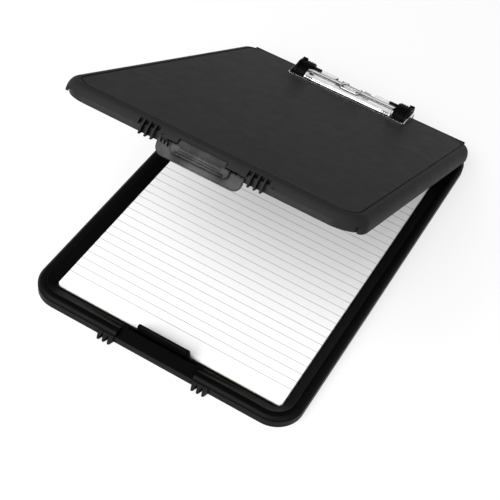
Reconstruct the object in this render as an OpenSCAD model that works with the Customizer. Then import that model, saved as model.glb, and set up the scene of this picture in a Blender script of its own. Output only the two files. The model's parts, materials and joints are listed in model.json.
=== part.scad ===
// Storage clipboard box: a shallow moulded tray with a hinged clipboard lid.
// Millimetres, +Z up. Origin: centre of the tray's flat underside. Front is -Y, hinge side is +Y.
// The lid and all it carries are drawn closed and then turned open about the hinge axis.

/* [Tray] */
// Width of the pad of sheets that the tray is made to hold
pad_w = 216; // [190:1:260]
// Gap between the pad and the tray's inner walls
pad_side_gap = 0.5; // [0.4:0.1:3]
// Outside length of the tray
tray_l = 372; // [350:1:460]
// Height of the tray rim above the table
tray_h = 10; // [9:0.5:20]
// Outside corner radius, seen from above
corner_r = 25; // [22:0.5:40]
// Wall thickness of the tray moulding
tray_wall = 2; // [1.6:0.1:2.6]
// Thickness of the tray floor
floor_t = 1.8; // [1.2:0.1:2.6]
// Width of the rolled rim, from outer face to inner wall
rim_w = 17; // [15:0.5:19]
// Height of the plain band round the foot of the tray
band_h = 7.2; // [6:0.1:7.6]
// Pitch of the ribs under the rim
rim_rib_pitch = 52; // [25:1:80]

/* [Lid] */
// Height of the lid from its lower edge to its writing face
lid_h = 12.5; // [11:0.5:18]
// Wall thickness of the lid moulding
lid_wall = 2.2; // [1.6:0.1:2.6]
// How far the lid's front roll stands out over the tray
lid_overhang = 2.5; // [2.5:0.1:3.5]
// Width of the rounded edge round the writing face
lid_roll_w = 7; // [5:0.5:8]
// Height of the band of the inner frame that shows below the front roll
lid_seam_z = 5.5; // [4.5:0.1:6.5]
// Gap between the closed lid and the tray rim
lid_gap = 0.4; // [0.3:0.1:1]
// Pitch of the stiffening ribs under the writing face
lid_rib_pitch = 37.5; // [30:0.5:60]
// Depth of the line moulded round the writing face
lid_line_depth = 0.5; // [0.2:0.1:0.8]
// Angle to which the lid stands open
open_deg = 30; // [0:0.5:90]

/* [Inner frame] */
// Wall thickness of the inner frame
frame_wall = 1.8; // [1.2:0.1:2.4]
// Width of the frame's inward flange
frame_flange = 9; // [5:0.5:14]
// Clearance between frame and lid wall
frame_clear = 0.2; // [0.1:0.05:0.5]

/* [Hinge] */
// Distance from each side of the lid to the middle of its hinge
hinge_inset = 43.5; // [36:0.5:60]
// Width of each hinge ear on the tray
ear_w = 11; // [7:0.5:16]
// Outside radius of each hinge ear
ear_r = 3.2; // [2.6:0.1:3.4]
// Radius of the hinge pins
hinge_pin_r = 1.5; // [1:0.05:1.8]
// Running clearance of pins in their bores
pin_clear = 0.05; // [0.02:0.01:0.1]
// Side clearance between moving parts
side_clear = 0.4; // [0.3:0.05:0.8]
// Length of each lid knuckle beside an ear
knuckle_l = 9; // [6:0.5:14]

/* [Latch] */
// Half width of the latch flap
flap_half_w = 35.5; // [28:0.5:37]
// Half width of the neck that passes through the lid's front
neck_half_w = 19.5; // [14:0.5:22]
// Half width of the raised thumb pad on the flap
pad_half_w = 24; // [16:0.5:27]
// Thickness of the latch flap
flap_t = 1.6; // [1.2:0.1:1.9]
// How far the thumb pad stands out of the flap
pad_raise = 1.2; // [0.6:0.1:1.6]
// Radius of the flap's lower corners
flap_corner_r = 6.5; // [3:0.5:8]
// Radius of the latch pin
latch_pin_r = 1; // [0.7:0.05:1.2]
// Radius of the latch barrel
latch_barrel_r = 2.2; // [1.8:0.1:2.3]

/* [Catch and finger ribs] */
// Half width of the catch tongue on the tray
tongue_half_w = 25.5; // [18:0.5:28]
// Height of the catch tongue above the front shelf
tongue_h = 9.5; // [6:0.5:10.5]
// Thickness of the catch tongue
tongue_t = 1.7; // [1.2:0.1:2]
// Distance from the middle to each set of finger ribs
rib_set_x = 45; // [44:0.5:60]
// Pitch of the finger ribs within a set
finger_pitch = 5; // [4:0.1:5.5]
// Thickness of each finger rib
finger_t = 1.5; // [1:0.1:2]
// How far the tray's finger ribs stand out at the foot
finger_out = 5.5; // [3:0.5:7]

/* [Clip] */
// Half length of the clip's base plate
clip_half_l = 62; // [50:1:66]
// Depth of the clip's base plate, front to back
clip_depth = 36; // [33:0.5:40]
// Distance from the hinge axis forward to the rear edge of the clip
clip_inset = 9; // [6:0.5:14]
// Sheet thickness of the clip
clip_sheet = 1; // [0.8:0.1:1.4]
// Height of the clip's jaw above the writing face
clip_h = 9; // [8.6:0.1:10.5]
// Height of the clip's pivot rod above the writing face
clip_rod_z = 4.8; // [4.6:0.1:5]
// Radius of the clip's pivot rod
clip_rod_r = 1.5; // [1:0.05:1.6]
// Width of each black end grip
grip_w = 14.5; // [10:0.5:18]
// Radius of the spring wire
wire_r = 0.65; // [0.45:0.05:0.7]
// Turns in each coil of the spring
coil_turns = 4; // [3:1:7]

/* [Writing pad] */
// Length of the pad
pad_l = 297; // [200:1:310]
// Thickness of the stack of sheets
pad_sheets_t = 2.4; // [1:0.1:5]
// Thickness of the pad's backing board
board_t = 0.8; // [0.4:0.1:1.5]
// Gap between the tray's front rim and the pad
pad_front_gap = 3.5; // [2:0.1:6]

/* [Hidden] */
$fn = 64;

// Colours
plastic_black = [0.085, 0.083, 0.085];
plastic_frame = [0.1, 0.098, 0.1];
steel = [0.78, 0.79, 0.8];
grip_black = [0.03, 0.03, 0.032];
paper_white = [0.95, 0.95, 0.94];
board_brown = [0.6, 0.52, 0.42];

// Shared places
tray_w = pad_w + 2 * (pad_side_gap + rim_w);
hinge_x = tray_w / 2 - hinge_inset;
front_y = -tray_l / 2;
rear_y = tray_l / 2;
lid_z = tray_h + lid_gap;              // lower edge of the closed lid
lid_top = lid_z + lid_h;               // writing face of the closed lid
nose_r = lid_h / 2;                    // rounded rear edge of the lid, round the hinge axis
hinge_y = rear_y - nose_r - 0.25;
hinge_z = lid_z + nose_r;
lid_front_y = front_y - lid_overhang;
lid_rear_y = hinge_y + nose_r;
lid_l = lid_rear_y - lid_front_y;
lid_mid_y = (lid_rear_y + lid_front_y) / 2;

// Tray rim outline
band_step = 0.5;
roll_top_in = 4.2;
bead_in = 8;
bead_r = 0.6;
bead_drop = 0.7;
ledge_z = 5.2;
channel_in = rim_w - 1.6;
rib_t = 1.4;

// Front shelf and catch
shelf_half_w = 37;
shelf_in = rim_w - 3.6;
slot_w = 1.6;
tongue_in = shelf_in + slot_w;

// Finger ribs of the lid
finger_proud = 1.7;
finger_pocket = 1.5 * finger_pitch + 1.4;
dimple_x = finger_pocket + 3.4;

// Height of the upright part of the lid's skirt, below its rounding
lid_skirt = 2.5;

// Latch axis and flap planes, closed
latch_y = lid_front_y + 4;
latch_z = lid_z + lid_seam_z + 1.3;
flap_inner_y = front_y - side_clear;
flap_outer_y = flap_inner_y - flap_t;
flap_top_z = latch_z - 1.9;
flap_bottom_z = 2;
notch_top_z = latch_z + 2.5;
latch_boss_l = 8;
latch_turn = 50;
frame_front = front_y + 0.8;
// the flap's top edge turns under the lid's lower front edge at this radius
flap_swing_r = norm([latch_y - lid_front_y, latch_z - lid_z - lid_seam_z]) + 0.15;

// Clip, closed
clip_rear_y = hinge_y - clip_inset;
clip_front_y = clip_rear_y - clip_depth;
clip_rod_y = clip_rear_y - 4.5;
jaw_half_l = clip_half_l - grip_w - clip_sheet - 2 * side_clear;
cheek_r = clip_rod_r + 1.4;
jaw_curl_r = clip_h - clip_rod_z;
jaw_lip_y = clip_front_y + 2.2;
jaw_bend = 10;
spring_window = 21;
loop_half = 11;
slot_half = (jaw_half_l - loop_half - 7) / 2;
grip_top = clip_h + 3;
grip_bend = 15;
rivet_x = 31;
rivet_r = 1.6;
rivet_y = clip_front_y + 7;
washer_t = 0.8;

// Pad
pad_front_y = front_y + rim_w + pad_front_gap;
// its corners just clear the round inner corners of the rim
inner_r = corner_r - rim_w - 0.1;
pad_reach = 2 * inner_r - pad_side_gap - pad_front_gap + 0.2 - inner_r;
pad_excess = pow(inner_r + 0.1 - pad_side_gap, 2) + pow(inner_r + 0.1 - pad_front_gap, 2) - inner_r * inner_r;
pad_corner_r = pad_excess <= 0 ? 0.6 : max(0.6, pad_reach - sqrt(max(0, pad_reach * pad_reach - pad_excess)));

// Points along an arc from angle a0 to a1
function arc_points(cx, cy, r, a0, a1, n = 8) =
    [for (i = [0:n]) let (a = a0 + (a1 - a0) * i / n) [cx + r * cos(a), cy + r * sin(a)]];

// Points along an elliptical arc
function oval_points(cx, cy, rx, ry, a0, a1, n = 10) =
    [for (i = [0:n]) let (a = a0 + (a1 - a0) * i / n) [cx + rx * cos(a), cy + ry * sin(a)]];

// Turns the lid group from closed to open about the hinge axis
module opened() {
    translate([0, hinge_y, hinge_z]) rotate([-open_deg, 0, 0]) translate([0, -hinge_y, -hinge_z]) children();
}

// Carries an inset-and-height profile round a rounded rectangle
module rim_sweep(w, l, r) {
    for (q = [0:3]) {
        side = q % 2 == 0 ? w : l;
        across = q % 2 == 0 ? l : w;
        rotate([0, 0, 90 * q]) {
            translate([-(side / 2 - r), -across / 2, 0])
                rotate([90, 0, 90]) linear_extrude(side - 2 * r) children();
            translate([side / 2 - r, -across / 2 + r, 0])
                rotate([0, 0, -90]) rotate_extrude(angle = 90) translate([r, 0]) mirror([1, 0]) children();
        }
    }
}

// Flat plate with round corners
module round_plate(w, l, r, t) {
    translate([-w / 2 + r, -l / 2, 0]) cube([w - 2 * r, l, t]);
    translate([-w / 2, -l / 2 + r, 0]) cube([w, l - 2 * r, t]);
    for (sx = [-1, 1]) for (sy = [-1, 1])
        translate([sx * (w / 2 - r), sy * (l / 2 - r), 0]) cylinder(r = r, h = t);
}

// Cylinder along X, centred on x
module x_rod(r, length, x = 0, y = 0, z = 0) {
    translate([x - length / 2, y, z]) rotate([0, 90, 0]) cylinder(r = r, h = length);
}

// Profile in the YZ plane, thickened along X and centred on x
module x_slab(x, width) {
    translate([x - width / 2, 0, 0]) rotate([90, 0, 90]) linear_extrude(width) children();
}

// ---------------------------------------------------------------- tray

// Section of the rolled rim: plain band, rounded top, bead and inner slope, open underneath
module tray_rim_profile() {
    dx = roll_top_in - band_step;
    dz = tray_h - band_h;
    r = (dx * dx + dz * dz) / (2 * dz);
    top_z = tray_h - bead_drop;
    polygon(concat(
        [[0, 0], [0, band_h]],
        arc_points(roll_top_in, tray_h - r, r, 180 - acos(dx / r), 90, 4),
        arc_points(bead_in, top_z, bead_r, 180, 20, 3),
        [[rim_w - 1.4, ledge_z], [rim_w - 0.4, ledge_z - 0.5], [rim_w, ledge_z - 1.6]],
        [[rim_w, floor_t], [rim_w + 2, floor_t], [rim_w + 2, 0], [channel_in, 0]],
        [[channel_in, ledge_z - tray_wall], [bead_in, top_z - tray_wall - 0.2]],
        [[roll_top_in, tray_h - tray_wall], [tray_wall, band_h - 0.4], [tray_wall, 0]]
    ));
}

// Web that fills the hollow of the rim at a rib
module tray_rib_profile() {
    polygon([
        [tray_wall / 2, 0.8], [tray_wall / 2, band_h - 0.6], [roll_top_in, tray_h - tray_wall / 2],
        [bead_in, tray_h - bead_drop - tray_wall / 2], [rim_w - 1, ledge_z - tray_wall / 2], [rim_w - 1, 0.8]
    ]);
}

// Evenly spaced ribs under the four sides of the rim
module tray_rim_ribs() {
    for (q = [0:3]) {
        run = (q % 2 == 0 ? tray_w : tray_l) - 2 * corner_r;
        across = q % 2 == 0 ? tray_l : tray_w;
        count = floor(run / rim_rib_pitch);
        for (i = [0:count])
            rotate([0, 0, 90 * q])
                translate([(i - count / 2) * run / (count + 1), -across / 2, 0])
                    x_slab(0, rib_t) tray_rib_profile();
    }
}

// One of the three teeth of a finger set at the foot of the tray, narrower towards its tip
module tray_finger(x) {
    tip = finger_t / 2 - 0.1;
    root = finger_pitch / 2 - 0.15;
    intersection() {
        x_slab(x, finger_pitch + 1) polygon([
            [front_y + tray_wall / 2, 0.1], [front_y - finger_out + 1, 0], [front_y - finger_out, 0.8],
            [front_y - finger_out, 1.8], [front_y - finger_out * 0.8, 3.2], [front_y - finger_out * 0.4, 4.6],
            [front_y, band_h - 0.6], [front_y + tray_wall / 2, band_h - 0.6]
        ]);
        linear_extrude(band_h) polygon([
            [x - root, front_y + tray_wall], [x - root, front_y - 0.6], [x - tip, front_y - finger_out - 0.1],
            [x + tip, front_y - finger_out - 0.1], [x + root, front_y - 0.6], [x + root, front_y + tray_wall]
        ]);
    }
}

// Upright catch tongue behind the front shelf, with bevelled ends and a bead along its top
module catch_tongue() {
    y0 = front_y + tongue_in;
    top = band_h + tongue_h;
    translate([0, y0 + tongue_t, 0]) rotate([90, 0, 0]) linear_extrude(tongue_t) polygon(concat(
        [[-tongue_half_w - 3, band_h - 5], [tongue_half_w + 3, band_h - 5], [tongue_half_w + 3, band_h - 2.4]],
        [[tongue_half_w, band_h + 2.4]],
        arc_points(tongue_half_w - 2.6, top - 1.6, 1.6, 0, 90, 5),
        arc_points(-tongue_half_w + 2.6, top - 1.6, 1.6, 90, 180, 5),
        [[-tongue_half_w, band_h + 2.4], [-tongue_half_w - 3, band_h - 2.4]]
    ));
    x_rod(0.6, 2 * tongue_half_w - 8, 0, y0 + 0.1, top - 1.2);
}

// Hinge ear: a stem on the rear rim with a round head on the hinge axis
module tray_ear(x) {
    stem_foot = tray_h - tray_wall - 0.6;
    difference() {
        union() {
            x_rod(ear_r, ear_w, x, hinge_y, hinge_z);
            x_slab(x, ear_w) polygon([
                [hinge_y - ear_r + 0.5, stem_foot], [hinge_y + 2, stem_foot],
                [hinge_y + ear_r, hinge_z - 1], [hinge_y + ear_r, hinge_z],
                [hinge_y - ear_r, hinge_z], [hinge_y - ear_r, hinge_z - 2]
            ]);
        }
        x_rod(hinge_pin_r + pin_clear, ear_w + 2, x, hinge_y, hinge_z);
    }
}

module tray_shell() {
    color(plastic_black) {
        difference() {
            union() {
                rim_sweep(tray_w, tray_l, corner_r) tray_rim_profile();
                round_plate(tray_w - 2 * rim_w, tray_l - 2 * rim_w, corner_r - rim_w, floor_t);
                tray_rim_ribs();
            }
            // the roll is cut away over the front shelf
            translate([-shelf_half_w, front_y - 1, band_h]) cube([2 * shelf_half_w, shelf_in + slot_w + 1, 20]);
            translate([-shelf_half_w + 4, front_y + shelf_in, band_h - 2.6])
                cube([2 * shelf_half_w - 8, slot_w, 10]);
        }
        // front shelf, left open as a slot in front of the tongue
        difference() {
            translate([-shelf_half_w - 1, front_y + 0.2, band_h - tray_wall])
                cube([2 * shelf_half_w + 2, rim_w - 1.8, tray_wall]);
            translate([-shelf_half_w + 4, front_y + shelf_in, band_h - 2.6])
                cube([2 * shelf_half_w - 8, slot_w, 10]);
        }
        catch_tongue();
        for (s = [-1, 1]) for (i = [-1:1]) tray_finger(s * rib_set_x + i * finger_pitch);
        for (s = [-1, 1]) tray_ear(s * hinge_x);
    }
}

// ---------------------------------------------------------------- pad

module pad_backing_board() {
    color(board_brown)
        translate([0, pad_front_y + pad_l / 2, floor_t]) round_plate(pad_w, pad_l, pad_corner_r, board_t);
}

module writing_pad() {
    color(paper_white)
        translate([0, pad_front_y + pad_l / 2, floor_t + board_t])
            round_plate(pad_w, pad_l, pad_corner_r, pad_sheets_t);
}

// ---------------------------------------------------------------- hinge pins

module hinge_pin(side) {
    color(steel) opened()
        x_rod(hinge_pin_r, ear_w + 2 * side_clear + 2 * knuckle_l - 1, side * hinge_x, hinge_y, hinge_z);
}

module hinge_pin_left() {
    hinge_pin(-1);
}

module hinge_pin_right() {
    hinge_pin(1);
}

// ---------------------------------------------------------------- lid

// Section of the lid's edge: skirt, large rounding, moulded line and the edge of the writing face
module lid_edge_profile() {
    line_in = lid_roll_w + 1.2;
    polygon(concat(
        [[0, 0]],
        oval_points(lid_roll_w, lid_skirt, lid_roll_w, lid_h - lid_skirt, 180, 90, 6),
        [[line_in, lid_h], [line_in + 0.4, lid_h - lid_line_depth], [line_in + 1.2, lid_h - lid_line_depth]],
        [[line_in + 1.7, lid_h], [line_in + 4, lid_h], [line_in + 4, lid_h - lid_wall]],
        oval_points(lid_roll_w + 0.6, lid_skirt, lid_roll_w + 0.6 - lid_wall, lid_h - lid_wall - lid_skirt,
                    90, 180, 4),
        [[lid_wall, 0]]
    ));
}

// Half tube that closes the lid's rear edge round the hinge axis
module lid_nose_profile() {
    polygon(concat(
        arc_points(hinge_y, nose_r, nose_r + 0.6, -90, 90, 8),
        arc_points(hinge_y, nose_r, nose_r - lid_wall, 90, -90, 8)
    ));
}

// Everything in front of the axis, and the round nose behind it
module lid_side_view() {
    polygon(concat(
        [[lid_front_y - 10, -1], [hinge_y, -1]],
        arc_points(hinge_y, nose_r, nose_r, -90, 90, 12),
        [[hinge_y - 0.5, lid_h + 1], [lid_front_y - 10, lid_h + 1]]
    ));
}

// Grid of stiffening ribs under the writing face
module lid_ribs() {
    depth = 1.8;
    edge = 14;
    front = lid_front_y + 24;
    run = clip_front_y - 6 - front;
    across = tray_w - 2 * edge;
    z0 = lid_h - lid_wall - depth;
    half = floor((across / 2 - edge) / lid_rib_pitch);
    rows = floor(run / lid_rib_pitch / 2);
    for (i = [-half:half])
        translate([i * lid_rib_pitch - rib_t / 2, front, z0]) cube([rib_t, run, depth + 0.4]);
    for (i = [0:rows])
        translate([-across / 2, front + i * (run - rib_t) / rows, z0]) cube([across, rib_t, depth + 0.4]);
}

// Curved finger rib across the lid's front roll, from the writing face to the lid's lower edge
module lid_finger(x) {
    back = frame_front - lid_front_y - 0.4;
    x_slab(x, finger_t) polygon(concat(
        oval_points(lid_front_y + lid_roll_w, 2.2, lid_roll_w + finger_proud, lid_h - 2.6, 194, 96, 8),
        [[lid_front_y + lid_roll_w, lid_h - 1], [lid_front_y + 4.6, lid_h - 3.4]],
        [[lid_front_y + back, lid_seam_z + 0.6], [lid_front_y + back - 0.6, 0.4]]
    ));
}

// Lid moulding, drawn closed with its lower edge at z = 0
module lid_body() {
    difference() {
        union() {
            intersection() {
                union() {
                    translate([0, lid_mid_y, 0]) rim_sweep(tray_w, lid_l, corner_r) lid_edge_profile();
                    translate([0, lid_mid_y, lid_h - lid_wall]) {
                        inset = lid_roll_w + 4;
                        round_plate(tray_w - 2 * inset, lid_l - 2 * inset, corner_r - inset, lid_wall);
                    }
                    x_slab(0, tray_w - 2 * corner_r + 30) lid_nose_profile();
                }
                x_slab(0, tray_w + 2) lid_side_view();
                translate([0, lid_mid_y, -1]) round_plate(tray_w, lid_l, corner_r, lid_h + 2);
            }
            lid_ribs();
            // knuckles beside the tray's hinge ears
            for (s = [-1, 1]) for (t = [-1, 1])
                x_rod(nose_r - lid_wall + 0.4, knuckle_l,
                      s * hinge_x + t * (ear_w / 2 + side_clear + knuckle_l / 2), hinge_y, nose_r);
            // bosses that hold the latch pin
            for (s = [-1, 1])
                latch_boss(s);
        }
        // the front skirt stops above the inner frame
        translate([-tray_w, lid_front_y - 5, -1]) cube([2 * tray_w, 19, lid_seam_z + 1]);
        // notch for the latch
        y_slab(lid_front_y - 2, latch_y)
            polygon([
                [-neck_half_w - 1, 3], [neck_half_w + 1, 3], [neck_half_w + 1, notch_top_z - lid_z - 1],
                [neck_half_w + 0.3, notch_top_z - lid_z], [-neck_half_w - 0.3, notch_top_z - lid_z],
                [-neck_half_w - 1, notch_top_z - lid_z - 1]
            ]);
        // room for the latch barrel behind the notch
        x_rod(latch_barrel_r + 0.4, 2 * neck_half_w + 2, 0, latch_y, latch_z - lid_z);
        // pockets between the finger ribs, and a dimple beside each set
        for (s = [-1, 1]) {
            translate([s * rib_set_x - finger_pocket, lid_front_y - 2, lid_seam_z - 1])
                cube([2 * finger_pocket, 5.4, lid_h - lid_seam_z + 0.2]);
            translate([s * rib_set_x + dimple_x, lid_front_y + 1.1, lid_seam_z + 2.4])
                rotate([90, 0, 0]) cylinder(r = 1.5, h = 4);
        }
        // room for the tray's hinge ears
        for (s = [-1, 1])
            translate([s * hinge_x - ear_w / 2 - side_clear, hinge_y - ear_r - side_clear, -1])
                cube([ear_w + 2 * side_clear, 20, nose_r + ear_r + side_clear + 1]);
        // pin bores
        for (s = [-1, 1])
            x_rod(hinge_pin_r + pin_clear, ear_w + 2 * knuckle_l + 4, s * hinge_x, hinge_y, nose_r);
        x_rod(latch_pin_r + pin_clear, 2 * (neck_half_w + 1 + latch_boss_l), 0, latch_y, latch_z - lid_z);
        // rivet holes under the clip
        for (s = [-1, 1])
            translate([s * rivet_x, rivet_y, lid_h - lid_wall - 3]) cylinder(r = rivet_r + 0.1, h = lid_wall + 6);
    }
}

// Boss beside the latch notch
module latch_boss(s) {
    x = s * (neck_half_w + 1 + latch_boss_l / 2);
    z = latch_z - lid_z;
    x_rod(latch_pin_r + 1.2, latch_boss_l, x, latch_y, z);
    x_slab(x, latch_boss_l) polygon([
        [latch_y - 1.4, z], [latch_y + 1.4, z],
        [latch_y + 2.4, lid_h - lid_wall + 0.6], [latch_y - 1.4, lid_h - lid_wall]
    ]);
}

module lid_shell() {
    color(plastic_black) opened() translate([0, 0, lid_z]) {
        lid_body();
        for (s = [-1, 1]) for (i = [-1:1]) lid_finger(s * rib_set_x + i * finger_pitch);
    }
}

// ---------------------------------------------------------------- inner frame

// Section of the inner frame: wall that follows the inside of the lid's edge, with a flange at its foot
module frame_profile() {
    rx = lid_roll_w + 0.6 - lid_wall;
    rz = lid_h - lid_wall - lid_skirt;
    top_angle = asin((lid_seam_z + 1.4 - lid_skirt) / rz);
    polygon(concat(
        [[2 * frame_wall, frame_wall], [frame_flange, frame_wall]],
        [[frame_flange, 0], [0.4, 0], [0, 0.4]],
        oval_points(rx, lid_skirt, rx, rz, 180, 180 - top_angle, 5),
        oval_points(rx, lid_skirt, rx - frame_wall, rz, 180 - top_angle, 180, 5)
    ));
}

module lid_inner_frame() {
    inset = lid_wall + frame_clear;
    w = tray_w - 2 * inset;
    y0 = frame_front;
    y1 = hinge_y - nose_r - 6;
    r = corner_r - inset;
    latch_room = neck_half_w + 1.6 + latch_boss_l;
    color(plastic_frame) opened() translate([0, 0, lid_z]) difference() {
        translate([0, (y0 + y1) / 2, 0]) rim_sweep(w, y1 - y0, r) frame_profile();
        // lower along the front under the latch barrel
        translate([-latch_room, y0 - 1, latch_z - lid_z - latch_barrel_r - 1.4])
            cube([2 * latch_room, frame_flange + 2, lid_h]);
    }
}

// ---------------------------------------------------------------- latch

module latch_pin() {
    color(steel) opened() x_rod(latch_pin_r, 2 * (neck_half_w + 1 + latch_boss_l) - 1, 0, latch_y, latch_z);
}

// Flap outline seen from the front, with round lower corners
module flap_outline(half_w, z_low, z_high, r) {
    polygon(concat(
        [[-half_w, z_high]],
        arc_points(-half_w + r, z_low + r, r, 180, 270, 6),
        arc_points(half_w - r, z_low + r, r, 270, 360, 6),
        [[half_w, z_high]]
    ));
}

// Front view outline, thickened along Y from y0 to y1
module y_slab(y0, y1) {
    translate([0, y1, 0]) rotate([90, 0, 0]) linear_extrude(y1 - y0) children();
}

module latch_flap() {
    pad_low = flap_bottom_z + 5.6;
    // the neck's top slopes back to the barrel, so that it clears the notch at the end of its turn
    neck_out = latch_y - flap_outer_y + pad_raise;
    neck_top = (latch_barrel_r - neck_out * sin(latch_turn)) / cos(latch_turn);
    color(plastic_black) opened() difference() {
        union() {
            difference() {
                union() {
                    // back plate
                    y_slab(flap_outer_y, flap_inner_y)
                        flap_outline(flap_half_w, flap_bottom_z, flap_top_z, flap_corner_r);
                    // raised thumb pad with a ridge along its foot
                    y_slab(flap_outer_y - pad_raise, flap_outer_y + 0.2)
                        flap_outline(pad_half_w, pad_low, flap_top_z, 4);
                    x_rod(0.8, 2 * pad_half_w - 9, 0, flap_outer_y - pad_raise, pad_low + 1.6);
                }
                // the top edge is hollowed to turn under the lid
                x_rod(flap_swing_r, 2 * flap_half_w + 4, 0, latch_y, latch_z);
            }
            // barrel and neck
            x_rod(latch_barrel_r, 2 * neck_half_w, 0, latch_y, latch_z);
            x_slab(0, 2 * neck_half_w) polygon([
                [latch_y, latch_z + latch_barrel_r], [latch_y - 0.6, latch_z - latch_barrel_r + 0.2],
                [flap_inner_y + 0.2, latch_z - 4.6], [flap_outer_y - pad_raise, latch_z - 4.6],
                [latch_y - neck_out, latch_z + neck_top],
                [latch_y - latch_barrel_r * sin(latch_turn), latch_z + latch_barrel_r * cos(latch_turn)]
            ]);
            // two fine lines across the neck
            for (i = [0, 1])
                x_rod(0.3, 2 * neck_half_w - 5, 0, flap_outer_y - pad_raise, latch_z - 3 - 2.4 * i);
        }
        x_rod(latch_pin_r + pin_clear, 2 * neck_half_w + 2, 0, latch_y, latch_z);
        // three short blind slots at the flap's upper left corner
        for (i = [0:2])
            translate([-pad_half_w - 3.2 - i * 3, flap_outer_y - 1, latch_z - 6.4 + 0.5 * i])
                cube([1.4, 2, 3]);
    }
}

// ---------------------------------------------------------------- clip

module clip_base_plate() {
    r = 2.5;
    color(steel) opened() translate([0, 0, lid_top]) difference() {
        union() {
            translate([0, (clip_front_y + clip_rear_y) / 2, 0])
                round_plate(2 * clip_half_l, clip_depth, r, clip_sheet);
            // upturned ears that hold the rod
            for (s = [-1, 1]) {
                x_slab(s * (clip_half_l - clip_sheet / 2), clip_sheet) polygon(concat(
                    [[clip_front_y + 2.5, 0], [clip_rear_y - 1.5, 0]],
                    arc_points(clip_rod_y, clip_rod_z, cheek_r, -10, 60, 6),
                    arc_points(clip_rod_y - 6, clip_h - 2.2, 2.6, 60, 120, 5),
                    [[clip_front_y + 4.5, clip_sheet + 1.4]]
                ));
            }
        }
        x_rod(clip_rod_r + pin_clear, 2 * clip_half_l + 2, 0, clip_rod_y, clip_rod_z);
        for (s = [-1, 1])
            translate([s * rivet_x, rivet_y, -1]) cylinder(r = rivet_r + 0.1, h = clip_sheet + 2);
    }
}

module clip_pivot_rod() {
    color(steel) opened() x_rod(clip_rod_r, 2 * clip_half_l + 1, 0, clip_rod_y, lid_top + clip_rod_z);
}

// Formed jaw sheet: pressing lip, curved front, level top and a curl behind the rod
module jaw_profile() {
    low = clip_sheet + 0.1;
    t = clip_sheet;
    polygon(concat(
        oval_points(jaw_lip_y + jaw_bend, low, jaw_bend, clip_h - low, 180, 90, 8),
        arc_points(clip_rod_y, clip_rod_z, jaw_curl_r, 90, 10, 5),
        arc_points(clip_rod_y, clip_rod_z, jaw_curl_r - t, 10, 90, 5),
        oval_points(jaw_lip_y + jaw_bend, low, jaw_bend - t, clip_h - low - t, 90, 180, 8)
    ));
}

// Side cheek of the jaw, down to the rod
module jaw_cheek(x) {
    x_slab(x, clip_sheet) polygon(concat(
        arc_points(clip_rod_y, clip_rod_z, cheek_r, -180, 0, 10),
        [[clip_rod_y + cheek_r, clip_h - 0.5 - clip_sheet], [jaw_lip_y + jaw_bend, clip_h - 0.4]],
        [[jaw_lip_y + jaw_bend, clip_h - 3.2]]
    ));
}

module clip_jaw_plate() {
    color(steel) opened() translate([0, 0, lid_top]) difference() {
        union() {
            x_slab(0, 2 * jaw_half_l) jaw_profile();
            for (s = [-1, 1]) jaw_cheek(s * (jaw_half_l - clip_sheet / 2));
            // rolled lip along the front and a pressed bead along the top
            x_rod(1.1, 2 * jaw_half_l - 2, 0, jaw_lip_y - 0.1, clip_sheet + 1.3);
            x_rod(0.9, 2 * jaw_half_l - 6, 0, jaw_lip_y + jaw_bend + 3, clip_h - 0.5);
        }
        x_rod(clip_rod_r + pin_clear, 2 * jaw_half_l + 2, 0, clip_rod_y, clip_rod_z);
        // window over the coils, open to the rear
        translate([-spring_window, jaw_lip_y + jaw_bend + 5, 0])
            cube([2 * spring_window, clip_depth, 2 * clip_h]);
        // long slots beside the spring's loop
        for (s = [-1, 1])
            translate([s * (jaw_half_l + loop_half + 1) / 2 - slot_half, jaw_lip_y + 2, 0])
                cube([2 * slot_half, 3.2, 2 * clip_h]);
    }
}

// Side view of a grip: rounded foot round the rod, rounded top and a curved front
module grip_profile(proud) {
    low = clip_sheet + 0.4;
    foot_r = clip_rod_z - low;
    peak_r = 3.2 + proud;
    polygon(concat(
        arc_points(clip_rod_y, clip_rod_z, foot_r, -90, 10, 5),
        arc_points(clip_rod_y - 2, grip_top - 3.2, peak_r, 10, 90, 4),
        oval_points(clip_rod_y - 5.2, low, grip_bend + proud, grip_top + proud - low, 90, 180, 7)
    ));
}

// Black end grip, moulded round the end of the jaw
module clip_grip(side) {
    x = side * (jaw_half_l + side_clear / 2 + grip_w / 2);
    finger_l = 10;
    color(grip_black) opened() translate([0, 0, lid_top]) difference() {
        union() {
            x_slab(x, grip_w) grip_profile(0);
            // moulded grip ridges
            for (i = [-2:2])
                x_slab(x + i * grip_w / 5.6, 1.2) grip_profile(0.5);
            // flange at the outer end, with a round lobe at its peak
            x_slab(x + side * (grip_w / 2 - 1.3), 2.6) grip_profile(1);
            x_rod(2.2, 4.6, x + side * (grip_w / 2 - 2.3), clip_rod_y - 2.5, grip_top + 0.2);
            // finger that reaches in over the jaw
            x_finger = x - side * (grip_w / 2 + finger_l / 2 - 1);
            translate([x_finger - finger_l / 2, clip_rod_y - 9, clip_h + 0.15])
                cube([finger_l, 2.6, 1.5]);
        }
        x_rod(clip_rod_r + pin_clear, grip_w + 2, x, clip_rod_y, clip_rod_z);
    }
}

module clip_grip_left() {
    clip_grip(-1);
}

module clip_grip_right() {
    clip_grip(1);
}

// Two tubular rivets through base plate, lid and washer
module clip_rivets() {
    grip_low = lid_top - lid_wall - washer_t;
    color(steel) opened() for (s = [-1, 1])
        translate([s * rivet_x, rivet_y, 0]) {
            translate([0, 0, grip_low - 0.9]) cylinder(r = 2.6, h = 0.9);
            translate([0, 0, grip_low - 0.5]) cylinder(r = rivet_r, h = lid_top + clip_sheet - grip_low + 0.9);
            translate([0, 0, lid_top + clip_sheet]) cylinder(r1 = 2.9, r2 = 1.8, h = 0.9);
        }
}

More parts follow.
